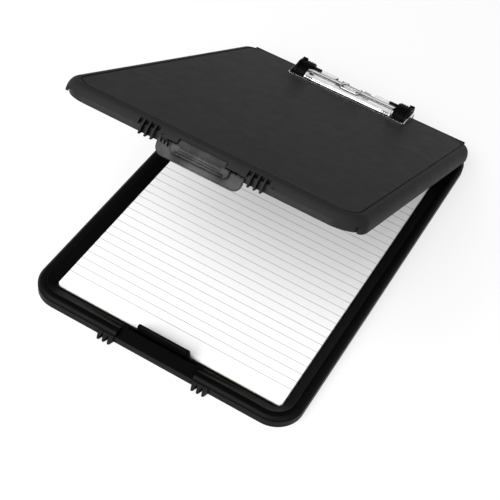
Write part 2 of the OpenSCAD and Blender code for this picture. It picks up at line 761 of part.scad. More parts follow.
module clip_rivet_washers() {
    color(steel) opened() for (s = [-1, 1])
        translate([s * rivet_x, rivet_y, lid_top - lid_wall - washer_t]) difference() {
            cylinder(r = 4.2, h = washer_t);
            translate([0, 0, -1]) cylinder(r = rivet_r + 0.1, h = washer_t + 2);
        }
}

// ---------------------------------------------------------------- spring

coil_r = clip_rod_r + wire_r + 0.5;
coil_pitch = 2 * wire_r + 0.5;
coil_steps = 8;
coil_len = coil_turns * coil_pitch;
coil_in = 8;

// Coil on one side of the middle, wound outwards from the inner end
function coil_points(side) = [
    for (i = [0:coil_turns * coil_steps]) let (a = 180 + 360 * i / coil_steps)
        [side * (coil_in + coil_pitch * i / coil_steps),
         clip_rod_y + coil_r * cos(a), clip_rod_z + coil_r * sin(a)]
];

function reversed(v) = [for (i = [len(v) - 1:-1:0]) v[i]];

// Foot on the base plate, coil, loop over the jaw's curved front, second coil, second foot
spring_low = clip_sheet + wire_r + 0.3;
loop_z = clip_h + wire_r + 0.55;
loop_y = jaw_lip_y + 2.2;
loop_low = clip_sheet + 0.62 * clip_h + wire_r;
spring_foot = [
    [coil_in + coil_len + 0.4, clip_rod_y - 4.5, spring_low],
    [coil_in + coil_len + 0.8, clip_rod_y - 9, spring_low],
    [coil_in + coil_len + 1.2, clip_rod_y - 14, spring_low]
];
loop_side = [
    [coil_in - 1.6, clip_rod_y - 5.5, clip_h - 0.4], [coil_in - 0.6, clip_rod_y - 10, loop_z],
    [coil_in + 1, jaw_lip_y + jaw_bend - 2, loop_z], [coil_in + 2, jaw_lip_y + 4.4, loop_z - 1],
    [coil_in + 1.6, loop_y + 0.5, loop_low + 0.5], [coil_in - 0.4, loop_y - 0.2, loop_low]
];
spring_path = concat(
    [for (p = reversed(spring_foot)) [-p[0], p[1], p[2]]],
    reversed(coil_points(-1)),
    [for (p = loop_side) [-p[0], p[1], p[2]]],
    reversed(loop_side),
    coil_points(1),
    spring_foot
);

// Least gap between stretches of the wire that don't follow each other, measured on points along it
spring_points = [
    for (i = [0:len(spring_path) - 2]) for (t = [0, 0.5]) spring_path[i] * (1 - t) + spring_path[i + 1] * t
];
spring_gap = min([for (i = [0:len(spring_points) - 1]) for (j = [i + coil_steps:len(spring_points) - 1])
    norm(spring_points[i] - spring_points[j])]) - 2 * wire_r;
echo(spring_least_gap_mm = spring_gap);

function unit(v) = v / norm(v);

// Direction of the path at point i
function heading(p, i) = unit(p[min(i + 1, len(p) - 1)] - p[max(i - 1, 0)]);

// Ring of six points square to the path
function ring_points(c, d, r, sides) =
    let (ref = abs(d[0]) > 0.9 ? [0, 0, 1] : [1, 0, 0])
    let (u = unit(cross(d, ref)), v = cross(d, u))
    [for (k = [0:sides - 1]) c + r * (cos(360 * k / sides) * u + sin(360 * k / sides) * v)];

// Tube of round wire along a path
module wire(p, r, sides = 6) {
    n = len(p);
    pts = [for (i = [0:n - 1]) each ring_points(p[i], heading(p, i), r, sides)];
    walls = [
        for (i = [0:n - 2]) for (k = [0:sides - 1])
            let (a = i * sides + k, b = i * sides + (k + 1) % sides)
                each [[a, b, b + sides], [a, b + sides, a + sides]]
    ];
    cap0 = [for (k = [1:sides - 2]) [0, k + 1, k]];
    base = (n - 1) * sides;
    cap1 = [for (k = [1:sides - 2]) [base, base + k, base + k + 1]];
    polyhedron(points = pts, faces = concat(walls, cap0, cap1));
}

module clip_spring() {
    color(steel) opened() translate([0, 0, lid_top]) wire(spring_path, wire_r);
}

tray_shell();
writing_pad();
pad_backing_board();
hinge_pin_left();
hinge_pin_right();
lid_shell();
lid_inner_frame();
latch_pin();
latch_flap();
clip_base_plate();
clip_pivot_rod();
clip_rivets();
clip_rivet_washers();
clip_jaw_plate();
clip_spring();
clip_grip_left();
clip_grip_right();
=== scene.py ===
"""Dresses the storage clipboard box: finishes, fine pieces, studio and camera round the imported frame."""

import json
import logging
import math
import random
from dataclasses import dataclass
from enum import Enum
from typing import Sequence

import bmesh
import bpy
from mathutils import Matrix, Vector


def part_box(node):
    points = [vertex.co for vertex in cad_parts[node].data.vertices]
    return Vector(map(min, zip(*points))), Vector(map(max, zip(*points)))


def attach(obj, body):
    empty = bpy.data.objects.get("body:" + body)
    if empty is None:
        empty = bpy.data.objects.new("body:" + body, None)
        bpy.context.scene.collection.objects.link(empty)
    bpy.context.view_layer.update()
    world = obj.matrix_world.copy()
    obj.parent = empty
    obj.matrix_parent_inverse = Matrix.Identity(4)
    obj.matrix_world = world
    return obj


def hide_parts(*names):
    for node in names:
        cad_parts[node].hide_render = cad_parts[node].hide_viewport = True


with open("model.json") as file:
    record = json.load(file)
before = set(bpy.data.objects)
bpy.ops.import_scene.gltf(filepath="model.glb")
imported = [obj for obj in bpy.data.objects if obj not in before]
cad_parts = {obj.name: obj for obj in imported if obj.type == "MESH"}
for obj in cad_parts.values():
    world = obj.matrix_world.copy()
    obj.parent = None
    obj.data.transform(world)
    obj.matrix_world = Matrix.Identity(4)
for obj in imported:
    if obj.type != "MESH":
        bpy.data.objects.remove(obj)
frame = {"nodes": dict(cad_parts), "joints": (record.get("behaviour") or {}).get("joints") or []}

log = logging.getLogger("clipboard_box")

MM = 0.001
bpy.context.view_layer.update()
HINGE_JOINT = "lid_hinge"

Colour = tuple[float, float, float]
Point = tuple[float, float, float]
Output = tuple[bpy.types.Node, str | int]


class Body(Enum):
    """The bodies that new pieces move with."""

    TRAY = "tray"
    LID = "lid"
    JAW = "clip_jaw"


class Slot(Enum):
    """The record's material slots of the new pieces."""

    STEEL = "bright_steel"
    WIRE = "spring_wire"
    PAPER = "ruled_paper"


# ---------- materials


class NodeBench:
    """A short way to lay out shader nodes."""

    def __init__(self, tree: bpy.types.NodeTree) -> None:
        """Starts with an empty node tree."""
        self.tree = tree
        tree.nodes.clear()

    def add(self, kind: str, **settings: object) -> bpy.types.Node:
        """Adds a node and sets its plain properties.

        Args:
            kind: type of the node.
            settings: properties of the node.
        Returns:
            The new node.
        """
        node = self.tree.nodes.new(kind)
        for key, value in settings.items():
            setattr(node, key, value)
        return node

    def link(self, source: Output, node: bpy.types.Node, into: str | int) -> None:
        """Joins the output of one node to an input of another."""
        self.tree.links.new(source[0].outputs[source[1]], node.inputs[into])

    def ramp(self, source: Output, given: Sequence[float], made: Sequence[float] = (0.0, 1.0)) -> Output:
        """Adds a clamped map from one range to another.

        Args:
            source: output that gives the value.
            given: two values that come in.
            made: what they become.
        Returns:
            The output that gives the mapped value.
        """
        node = self.add("ShaderNodeMapRange")
        for key, value in zip(("From Min", "From Max", "To Min", "To Max"), (*given, *made)):
            node.inputs[key].default_value = value
        self.link(source, node, "Value")
        return node, "Result"

    def maths(self, operation: str, a: Output, b: Output | float) -> Output:
        """Adds one step of arithmetic.

        Args:
            operation: what is done.
            a: first value.
            b: second value, an output or a number.
        Returns:
            The output that gives the result.
        """
        node = self.add("ShaderNodeMath", operation=operation)
        self.link(a, node, 0)
        if isinstance(b, tuple):
            self.link(b, node, 1)
        else:
            node.inputs[1].default_value = b
        return node, 0

    def mix(self, share: Output, a: Colour | Output, b: Colour | Output) -> Output:
        """Mixes two colours, each of them fixed or the output of another mix.

        Args:
            share: output that gives the share of b.
            a: first colour.
            b: second colour.
        Returns:
            The output that gives the mixed colour.
        """
        node = self.add("ShaderNodeMix", data_type="RGBA")
        self.link(share, node, 0)
        for index, value in ((6, a), (7, b)):
            if isinstance(value[0], bpy.types.Node):
                self.link(value, node, index)
            else:
                node.inputs[index].default_value = (*value, 1.0)
        return node, 2


class FinishBench(NodeBench):
    """A bench for one material with a surface shader.

    Attributes:
        ray_samples: rays that look for edges and for the hollows that get painted shade.
        edge_dots: agreement of rounded and true normal where an edge begins, and where it is full.
        painted_shade_sky_shares: open share of the sky that counts as a hollow, and as an open face, for the
            painted shade.
        painted_shade_floor: value of the painted shade's mask in the deepest hollow.
        noise_span: where most values of a noise lie.
    """

    ray_samples = 6
    edge_dots = (0.99, 0.8)
    painted_shade_sky_shares = (0.55, 0.95)
    painted_shade_floor = 0.06
    noise_span = (0.3, 0.7)

    def __init__(self, name: str) -> None:
        """Starts a material with a surface shader.

        Args:
            name: name of the material.
        """
        self.material = bpy.data.materials.new(name)
        self.material.use_nodes = True
        super().__init__(self.material.node_tree)
        self.shader = self.add("ShaderNodeBsdfPrincipled")
        self.link((self.shader, "BSDF"), self.add("ShaderNodeOutputMaterial"), "Surface")
        self.place = self.add("ShaderNodeTexCoord")

    def noise(self, scale: float, detail: float, stretch: Sequence[float] = (1, 1, 1)) -> Output:
        """Adds noise on object coordinates.

        Args:
            scale: features per metre.
            detail: octaves.
            stretch: scale of each axis before the noise.
        Returns:
            The output that gives the noise.
        """
        mapping = self.add("ShaderNodeMapping")
        mapping.inputs["Scale"].default_value = tuple(stretch)
        self.link((self.place, "Object"), mapping, "Vector")
        noise = self.add("ShaderNodeTexNoise")
        noise.inputs["Scale"].default_value = scale
        noise.inputs["Detail"].default_value = detail
        self.link((mapping, "Vector"), noise, "Vector")
        return noise, "Fac"

    def bump(self, source: Output, strength: float, distance: float) -> None:
        """Gives the surface a bump.

        Args:
            source: output that gives the height.
            strength: share of the bump that shows.
            distance: height in metres.
        """
        node = self.add("ShaderNodeBump")
        node.inputs["Strength"].default_value = strength
        node.inputs["Distance"].default_value = distance
        self.link(source, node, "Height")
        self.link((node, "Normal"), self.shader, "Normal")

    def edge_share(self, reach: float) -> Output:
        """Adds a value that is 1 on sharp edges and 0 on open faces.

        Args:
            reach: how far an edge reaches into its faces, in metres.
        Returns:
            The output that gives the value.
        """
        bevel = self.add("ShaderNodeBevel", samples=self.ray_samples)
        bevel.inputs["Radius"].default_value = reach
        geometry = self.add("ShaderNodeNewGeometry")
        dot = self.add("ShaderNodeVectorMath", operation="DOT_PRODUCT")
        self.link((bevel, "Normal"), dot, 0)
        self.link((geometry, "Normal"), dot, 1)
        return self.ramp((dot, "Value"), self.edge_dots)

    def unshaded_share(self, reach: float, alone: bool = True) -> Output:
        """Adds the mask of the painted shade: a value that is 1 on open faces and falls towards 0 in narrow
        hollows.

        Args:
            reach: how far the hollow's walls are looked for, in metres.
            alone: whether only walls of the same piece count.
        Returns:
            The output that gives the value.
        """
        # Painted shade: ambient occlusion finds the hollows that the finishes darken in their colour and
        # gloss.
        hollow = self.add("ShaderNodeAmbientOcclusion", samples=self.ray_samples, only_local=alone)
        hollow.inputs["Distance"].default_value = reach
        return self.ramp((hollow, "AO"), self.painted_shade_sky_shares, (self.painted_shade_floor, 1.0))


@dataclass(frozen=True)
class MouldedPlastic:
    """Textured moulding: fine grain, soft blotches, edges of a tone of their own (a painted shade outline
    where it is darker than the face) and painted shade in its hollows.

    Attributes:
        name: name of the material.
        colour: colour of the open faces.
        edge_colour: colour that edges tend to, lighter for worn edges and darker for a painted shade outline.
        roughness: mean roughness.
        specular: gloss of the open faces.
        grain_mm, grain_depth_mm, grain_share: size, depth and strength of the grain.
        edge_mm: how far an edge's tone reaches.
        painted_shade_reach_mm: how far a hollow's walls are looked for by the painted shade.
        blotch, blotch_scale: contrast of the blotches, and how many there are per metre.
        gloss_patches: contrast of the gloss, which follows the blotches.
        dull_edge: share of the gloss that edges lose.
        roughness_spread, roughness_scale: spread of the roughness, and its patches per metre.
        scuff_scale: scuffs per metre.
    """

    name: str
    colour: Colour
    edge_colour: Colour
    roughness: float
    specular: float
    grain_mm: float = 0.35
    grain_depth_mm: float = 0.02
    grain_share: float = 0.35
    edge_mm: float = 0.5
    painted_shade_reach_mm: float = 4.0
    blotch: float = 0.06
    blotch_scale: float = 28.0
    gloss_patches: float = 0.0
    dull_edge: float = 0.0
    roughness_spread: float = 0.03
    roughness_scale: float = 95.0
    scuff_scale: float = 420.0

    def build(self) -> bpy.types.Material:
        """Lays out the plastic's nodes.

        Returns:
            The plastic's material.
        """
        bench = FinishBench(self.name)
        blotches = bench.noise(self.blotch_scale, 4.0)
        edge_wear_and_shade = self._edge_wear_and_shade(bench)
        # Painted shade: the hollows found here are darkened towards black and lose their gloss.
        unshaded_share = bench.unshaded_share(self.painted_shade_reach_mm * MM)
        dark = tuple((1 - self.blotch) * c for c in self.colour)
        light = tuple((1 + self.blotch) * c for c in self.colour)
        body = bench.mix(bench.ramp(blotches, bench.noise_span), dark, light)
        # The edges take the edge colour; where it is darker than the face it is a painted shade outline.
        coat = bench.mix(edge_wear_and_shade, body, self.edge_colour)
        shaded = bench.mix(unshaded_share, (0.0, 0.0, 0.0), coat)
        bench.link(shaded, bench.shader, "Base Color")
        spread = (self.roughness - self.roughness_spread, self.roughness + self.roughness_spread)
        rough = bench.ramp(bench.noise(self.roughness_scale, 5.0), bench.noise_span, spread)
        bench.link(rough, bench.shader, "Roughness")
        gloss = bench.ramp(unshaded_share, (0.0, 1.0), (0.0, self.specular))
        patches = bench.ramp(blotches, (0.35, 0.65), (1 - self.gloss_patches, 1 + self.gloss_patches))
        rim = bench.ramp(edge_wear_and_shade, (0.0, 0.6), (1.0, 1 - self.dull_edge))
        for share in (patches, rim):
            gloss = bench.maths("MULTIPLY", gloss, share)
        bench.link(gloss, bench.shader, "Specular IOR Level")
        bench.bump(bench.noise(1.0 / (self.grain_mm * MM), 2.0), self.grain_share, self.grain_depth_mm * MM)
        return bench.material

    def _edge_wear_and_shade(self, bench: FinishBench) -> Output:
        """Adds a value that is high on edges, broken up by long scuffs; it carries the edges' wear and, where
        the edge colour is darker, a painted shade outline.

        Args:
            bench: bench of this material.
        Returns:
            The output that gives the value.
        """
        scuffs = bench.noise(self.scuff_scale, 2.0, (1.0, 0.08, 1.0))
        edge = bench.edge_share(self.edge_mm * MM)
        return bench.maths("MULTIPLY", edge, bench.ramp(scuffs, (0.4, 0.65), (0.35, 0.9)))


@dataclass(frozen=True)
class PlatedSteel:
    """Bright plated sheet or wire, with drawing marks along one way and shade in its hollows.

    Attributes:
        name: name of the material.
        colour: colour of the plating.
        roughness, smoother, rougher: roughness, and how far the marks take it down and up.
        along: stretch of the marks on each axis.
        marks, marks_mm, marks_scale: strength and depth of the marks, and how many there are per metre.
        cloud_scale: dull clouds per metre.
        dull: tone of the clouds against the rest.
        painted_shade_reach_mm: how far a hollow's walls, of this piece and of others, are looked for by the
            painted shade.
        painted_shade_colour: colour of the painted shade that deep hollows tend to.
    """

    name: str
    colour: Colour = (0.72, 0.72, 0.73)
    roughness: float = 0.14
    smoother: float = 0.04
    rougher: float = 0.1
    along: Point = (0.03, 1.0, 1.0)
    marks: float = 0.06
    marks_mm: float = 0.01
    marks_scale: float = 2600.0
    cloud_scale: float = 120.0
    dull: float = 0.8
    painted_shade_reach_mm: float = 1.8
    painted_shade_colour: Colour = (0.03, 0.03, 0.03)

    def build(self) -> bpy.types.Material:
        """Lays out the plating's nodes.

        Returns:
            The plating's material.
        """
        bench = FinishBench(self.name)
        bench.shader.inputs["Metallic"].default_value = 1.0
        drawn = bench.noise(self.marks_scale, 3.0, self.along)
        clouds = bench.ramp(bench.noise(self.cloud_scale, 3.0), (0.35, 0.75))
        tone = bench.mix(clouds, self.colour, tuple(self.dull * c for c in self.colour))
        # Painted shade: hollows, also where other pieces come near, are darkened towards a near-black colour.
        unshaded_share = bench.unshaded_share(self.painted_shade_reach_mm * MM, alone=False)
        bench.link(bench.mix(unshaded_share, self.painted_shade_colour, tone), bench.shader, "Base Color")
        spread = (self.roughness - self.smoother, self.roughness + self.rougher)
        bench.link(bench.ramp(drawn, bench.noise_span, spread), bench.shader, "Roughness")
        bench.bump(drawn, self.marks, self.marks_mm * MM)
        return bench.material


@dataclass(frozen=True)
class RuledPaper:
    """White writing paper with fine grey rules across it.

    Attributes:
        name: name of the material.
        colour, cloud: colour of the paper, and tone of its faint clouds.
        rule_colour, rule_mm, rule_blur: colour, width and soft edge of a rule.
        pitch_mm: distance from rule to rule.
        first_rule_y_mm, last_rule_y_mm: where the rules begin and end.
        beyond_mm, fade_mm: how far past them a rule may reach, and the fade there.
        fibre, fibre_mm: strength and depth of the fibres.
        roughness, specular: how matt the paper is.
    """

    name: str
    colour: Colour = (0.93, 0.93, 0.93)
    cloud: float = 0.975
    rule_colour: Colour = (0.2, 0.2, 0.21)
    rule_mm: float = 0.42
    rule_blur: float = 0.3
    pitch_mm: float = 8.8
    first_rule_y_mm: float = -148.0
    last_rule_y_mm: float = 90.0
    beyond_mm: float = 2.0
    fade_mm: float = 0.1
    fibre: float = 0.12
    fibre_mm: float = 0.02
    roughness: float = 0.85
    specular: float = 0.2

    def build(self) -> bpy.types.Material:
        """Lays out the paper's nodes.

        Returns:
            The paper's material.
        """
        bench = FinishBench(self.name)
        cloud = tuple(self.cloud * c for c in self.colour)
        sheet = bench.mix(bench.noise(60.0, 4.0), self.colour, cloud)
        bench.link(bench.mix(self._rules(bench), sheet, self.rule_colour), bench.shader, "Base Color")
        bench.bump(bench.noise(3500.0, 3.0, (1.0, 0.35, 1.0)), self.fibre, self.fibre_mm * MM)
        bench.shader.inputs["Roughness"].default_value = self.roughness
        bench.shader.inputs["Specular IOR Level"].default_value = self.specular
        return bench.material

    def _rules(self, bench: FinishBench) -> Output:
        """Adds a value that is 1 on a rule and 0 between two.

        Args:
            bench: bench of this material.
        Returns:
            The output that gives the value.
        """
        split = bench.add("ShaderNodeSeparateXYZ")
        bench.link((bench.place, "Object"), split, "Vector")
        past_first_rule = bench.maths("SUBTRACT", (split, "Y"), self.first_rule_y_mm * MM)
        to_next_rule = bench.maths("PINGPONG", past_first_rule, self.pitch_mm * MM / 2)
        half = self.rule_mm * MM / 2
        blur = self.rule_blur * half
        rule = bench.ramp(to_next_rule, (half - blur, half + blur), (1.0, 0.0))
        fade = self.fade_mm * MM
        first = (self.first_rule_y_mm - self.beyond_mm) * MM
        last = (self.last_rule_y_mm + self.beyond_mm) * MM
        after_first = bench.ramp((split, "Y"), (first, first + fade))
        before_last = bench.ramp((split, "Y"), (last - fade, last), (1.0, 0.0))
        for limit in (after_first, before_last):
            rule = bench.maths("MULTIPLY", rule, limit)
        return rule


@dataclass(frozen=True)
class GreyBoard:
    """Recycled board with pale and dark flecks.

    Attributes:
        name: name of the material.
        colour: colour of the pale flecks.
        dark: tone of the dark flecks against the pale ones.
        fleck, fleck_mm: strength and depth of the flecks.
        roughness: how matt the board is.
    """

    name: str
    colour: Colour = (0.45, 0.4, 0.34)
    dark: float = 0.7
    fleck: float = 0.2
    fleck_mm: float = 0.05
    roughness: float = 0.9

    def build(self) -> bpy.types.Material:
        """Lays out the board's nodes.

        Returns:
            The board's material.
        """
        bench = FinishBench(self.name)
        flecks = bench.noise(1400.0, 4.0, (1.0, 0.5, 1.0))
        dark = tuple(self.dark * c for c in self.colour)
        tone = bench.mix(bench.ramp(flecks, (0.35, 0.7)), dark, self.colour)
        bench.link(tone, bench.shader, "Base Color")
        bench.bump(flecks, self.fleck, self.fleck_mm * MM)
        bench.shader.inputs["Roughness"].default_value = self.roughness
        return bench.material


@dataclass(frozen=True)
class Finishes:
    """All finishes of the box, built once."""

    lid_plastic: bpy.types.Material
    tray_plastic: bpy.types.Material
    frame_plastic: bpy.types.Material
    latch_plastic: bpy.types.Material
    grip: bpy.types.Material
    sheet_steel: bpy.types.Material
    wire_steel: bpy.types.Material
    pin_steel: bpy.types.Material
    paper: bpy.types.Material
    board: bpy.types.Material

    @staticmethod
    def build() -> "Finishes":
        """Builds every finish.

        Returns:
            The finishes.
        """
        lid = MouldedPlastic("lid_moulding", (0.022, 0.0212, 0.0212), (0.032, 0.031, 0.031),
                             roughness=0.42, specular=0.008, painted_shade_reach_mm=8.0)
        tray = MouldedPlastic("tray_moulding", (0.0022, 0.0022, 0.0023), (0.012, 0.012, 0.012),
                              roughness=0.45, specular=0.08)
        inner = MouldedPlastic("frame_moulding", (0.006, 0.0058, 0.0058), (0.03, 0.029, 0.029),
                               roughness=0.5, specular=0.25)
        # The latch's edges are painted darker than its face as a painted shade outline, and lose most of
        # their gloss.
        latch = MouldedPlastic("latch_moulding", (0.023, 0.0222, 0.0222), (0.003, 0.003, 0.003),
                               roughness=0.38, specular=0.36, edge_mm=2.8, painted_shade_reach_mm=5.0, blotch=0.32,
                               blotch_scale=60.0, gloss_patches=0.45, dull_edge=0.9)
        grip = MouldedPlastic("grip_moulding", (0.0015, 0.0015, 0.0016), (0.005, 0.005, 0.005),
                              roughness=0.45, specular=0.05, grain_mm=0.25)
        wire = PlatedSteel("spring_wire_steel", (0.82, 0.82, 0.83), roughness=0.16,
                           along=(1.0, 1.0, 1.0), painted_shade_reach_mm=0.3)
        pin = PlatedSteel("pin_wire_steel", (0.12, 0.12, 0.12), roughness=0.35)
        return Finishes(
            lid_plastic=lid.build(),
            tray_plastic=tray.build(),
            frame_plastic=inner.build(),
            latch_plastic=latch.build(),
            grip=grip.build(),
            sheet_steel=PlatedSteel("plated_sheet").build(),
            wire_steel=wire.build(),
            pin_steel=pin.build(),
            paper=RuledPaper("ruled_sheet").build(),
            board=GreyBoard("pad_board").build(),
        )


# ---------- geometry helpers


@dataclass(frozen=True)
class LidPlace:
    """Where the lid group stands.

    Attributes:
        hinge: a point on the hinge axis, in metres.
        open_deg: angle that the lid is drawn open at.
    """

    hinge: Vector
    open_deg: float

    @staticmethod
    def from_frame() -> "LidPlace":
        """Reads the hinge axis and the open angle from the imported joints.

        Returns:
            The lid's place.
        """
        joint = next(j for j in frame["joints"] if j["name"] == HINGE_JOINT)
        return LidPlace(Vector(joint["pos_m"]), joint["range_deg"][1])

    @property
    def matrix(self) -> Matrix:
        """Turn from the closed lid to the open one, in metres."""
        turn = Matrix.Rotation(math.radians(-self.open_deg), 4, "X")
        return Matrix.Translation(self.hinge) @ turn @ Matrix.Translation(-self.hinge)

    def closed_box(self, node: str) -> tuple[Vector, Vector]:
        """Measures a CAD node of the lid group with the lid closed, in millimetres.

        Args:
            node: name of the CAD node.
        Returns:
            Lowest and highest corner.
        """
        back = self.matrix.inverted()
        points = [back @ v.co for v in frame["nodes"][node].data.vertices]
        low = Vector([min(p[i] for p in points) for i in range(3)]) / MM
        high = Vector([max(p[i] for p in points) for i in range(3)]) / MM
        return low, high


class Shaper:
    """Turns bmeshes and curves into finished pieces of the box.

    Attributes:
        merge_mm: distance under which points of a new piece are one.
        weld_m: distance under which points of a CAD node are one.
        flat_deg: bend under which faces of a CAD node are one.
        sharp_deg: least angle of an edge that is rounded.
        soft_segments: faces across a rounded edge.
        even_weight: how much large faces lead the shading of the rounded edges.
        end_steps: steps of the rounding at a rod's end.
    """

    merge_mm = 1e-4
    weld_m = 2e-6
    flat_deg = 0.3
    sharp_deg = 35.0
    soft_segments = 2
    even_weight = 90
    end_steps = 4

    @staticmethod
    def finish(name: str, bm: bmesh.types.BMesh, material: bpy.types.Material, body: Body, slot: Slot,
               place: Matrix | None = None) -> bpy.types.Object:
        """Makes an object from a bmesh in millimetres.

        Args:
            name: name of the piece.
            bm: the shape, which is freed.
            material: its finish.
            body: body that it moves with.
            slot: material slot of the record; not used.
            place: turn from the closed lid to the open one, for a piece of the lid group.
        Returns:
            The new object, at the origin.
        """
        bmesh.ops.remove_doubles(bm, verts=bm.verts, dist=Shaper.merge_mm)
        bmesh.ops.recalc_face_normals(bm, faces=bm.faces)
        to_metres = Matrix.Scale(MM, 4)
        if place is not None:
            to_metres = place @ to_metres
        bmesh.ops.transform(bm, matrix=to_metres, verts=bm.verts)
        for face in bm.faces:
            face.smooth = True
        mesh = bpy.data.meshes.new(name)
        bm.to_mesh(mesh)
        bm.free()
        piece = bpy.data.objects.new(name, mesh)
        bpy.context.scene.collection.objects.link(piece)
        mesh.materials.append(material)
        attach(piece, body.value)
        log.info("%s: %d faces on %s", name, len(mesh.polygons), body.value)
        return piece

    @staticmethod
    def soften(piece: bpy.types.Object, width_mm: float) -> None:
        """Rounds a piece's sharp edges with a bevel.

        Args:
            piece: object to soften.
            width_mm: width of the bevel.
        """
        bevel = piece.modifiers.new("soft_edges", "BEVEL")
        bevel.width = width_mm * MM
        bevel.segments = Shaper.soft_segments
        bevel.limit_method = "ANGLE"
        bevel.angle_limit = math.radians(Shaper.sharp_deg)
        even = piece.modifiers.new("even_shading", "WEIGHTED_NORMAL")
        even.mode = "FACE_AREA"
        even.weight = Shaper.even_weight
        even.keep_sharp = True

    @staticmethod
    def spun(bm: bmesh.types.BMesh, profile: Sequence[Point], centre: Point, axis: Point, steps: int) -> None:
        """Adds a full turn of a profile.

        Args:
            bm: bmesh to add to.
            profile: points of the profile, in order.
            centre: point on the axis.
            axis: direction of the axis.
            steps: steps of the turn.
        """
        verts = [bm.verts.new(p) for p in profile]
        edges = [bm.edges.new(pair) for pair in zip(verts, verts[1:])]
        bmesh.ops.spin(bm, geom=verts + edges, cent=centre, axis=axis, angle=2 * math.pi, steps=steps,
                       use_merge=True)

    @staticmethod
    def rod(bm: bmesh.types.BMesh, radius: float, ends: tuple[float, float], axis: tuple[float, float],
            rounding: float, steps: int) -> None:
        """Adds a rod along X with rounded ends.

        Args:
            bm: bmesh to add to.
            radius: radius of the rod.
            ends: X of its ends.
            axis: Y and Z of its axis.
            rounding: radius of the rounded ends.
            steps: faces round it.
        """
        x0, x1 = ends
        y, z = axis
        angles = [math.pi / 2 * k / Shaper.end_steps for k in range(Shaper.end_steps, -1, -1)]
        corner = [(rounding * (1 - math.sin(a)), radius - rounding * (1 - math.cos(a))) for a in angles]
        profile = [(x0, y, z)] + [(x0 + dx, y, z + r) for dx, r in corner]
        profile += [(x1 - dx, y, z + r) for dx, r in reversed(corner)] + [(x1, y, z)]
        Shaper.spun(bm, profile, (0, y, z), (1, 0, 0), steps)

    @staticmethod
    def tube(points: Sequence[Point], radius: float, sides: int, steps: int) -> bmesh.types.BMesh:
        """Sweeps a smooth round tube along points.

        Args:
            points: points that the tube passes near.
            radius: radius of the tube.
            sides: resolution round the tube.
            steps: steps between two points.
        Returns:
            The tube.
        """
        curve = bpy.data.curves.new("tube_line", "CURVE")
        curve.dimensions = "3D"
        curve.bevel_depth = radius
        curve.bevel_resolution = sides
        curve.use_fill_caps = True
        spline = curve.splines.new("NURBS")
        spline.points.add(len(points) - 1)
        for target, point in zip(spline.points, points):
            target.co = (*point, 1.0)
        spline.order_u = 4
        spline.use_endpoint_u = True
        spline.resolution_u = steps
        holder = bpy.data.objects.new("tube_line", curve)
        bpy.context.scene.collection.objects.link(holder)
        bpy.context.view_layer.update()
        mesh = bpy.data.meshes.new_from_object(holder.evaluated_get(bpy.context.evaluated_depsgraph_get()))
        bpy.data.objects.remove(holder)
        bpy.data.curves.remove(curve)
        bm = bmesh.new()
        bm.from_mesh(mesh)
        bpy.data.meshes.remove(mesh)
        return bm

    @staticmethod
    def dress_node(node: str, material: bpy.types.Material, soft_mm: float) -> None:
        """Gives a CAD node its finish and rounds its edges.

        Args:
            node: name of the CAD node.
            material: its finish.
            soft_mm: width of the rounding.
        """
        piece = frame["nodes"][node]
        piece.data.materials.clear()
        piece.data.materials.append(material)
        for face in piece.data.polygons:
            face.use_smooth = True
        weld = piece.modifiers.new("weld", "WELD")
        weld.merge_threshold = Shaper.weld_m
        flat = piece.modifiers.new("one_face_per_plane", "DECIMATE")
        flat.decimate_type = "DISSOLVE"
        flat.angle_limit = math.radians(Shaper.flat_deg)
        Shaper.soften(piece, soft_mm)
        log.info("%s: dressed as %s", node, material.name)


# ---------- sub-assemblies


@dataclass(frozen=True)
class TrayGroup:
    """The tray moulding, which keeps the shape that the CAD has."""

    soft_mm: float = 0.35

    def dress(self, finishes: Finishes) -> None:
        """Gives the tray its finish."""
        Shaper.dress_node("tray_shell", finishes.tray_plastic, self.soft_mm)


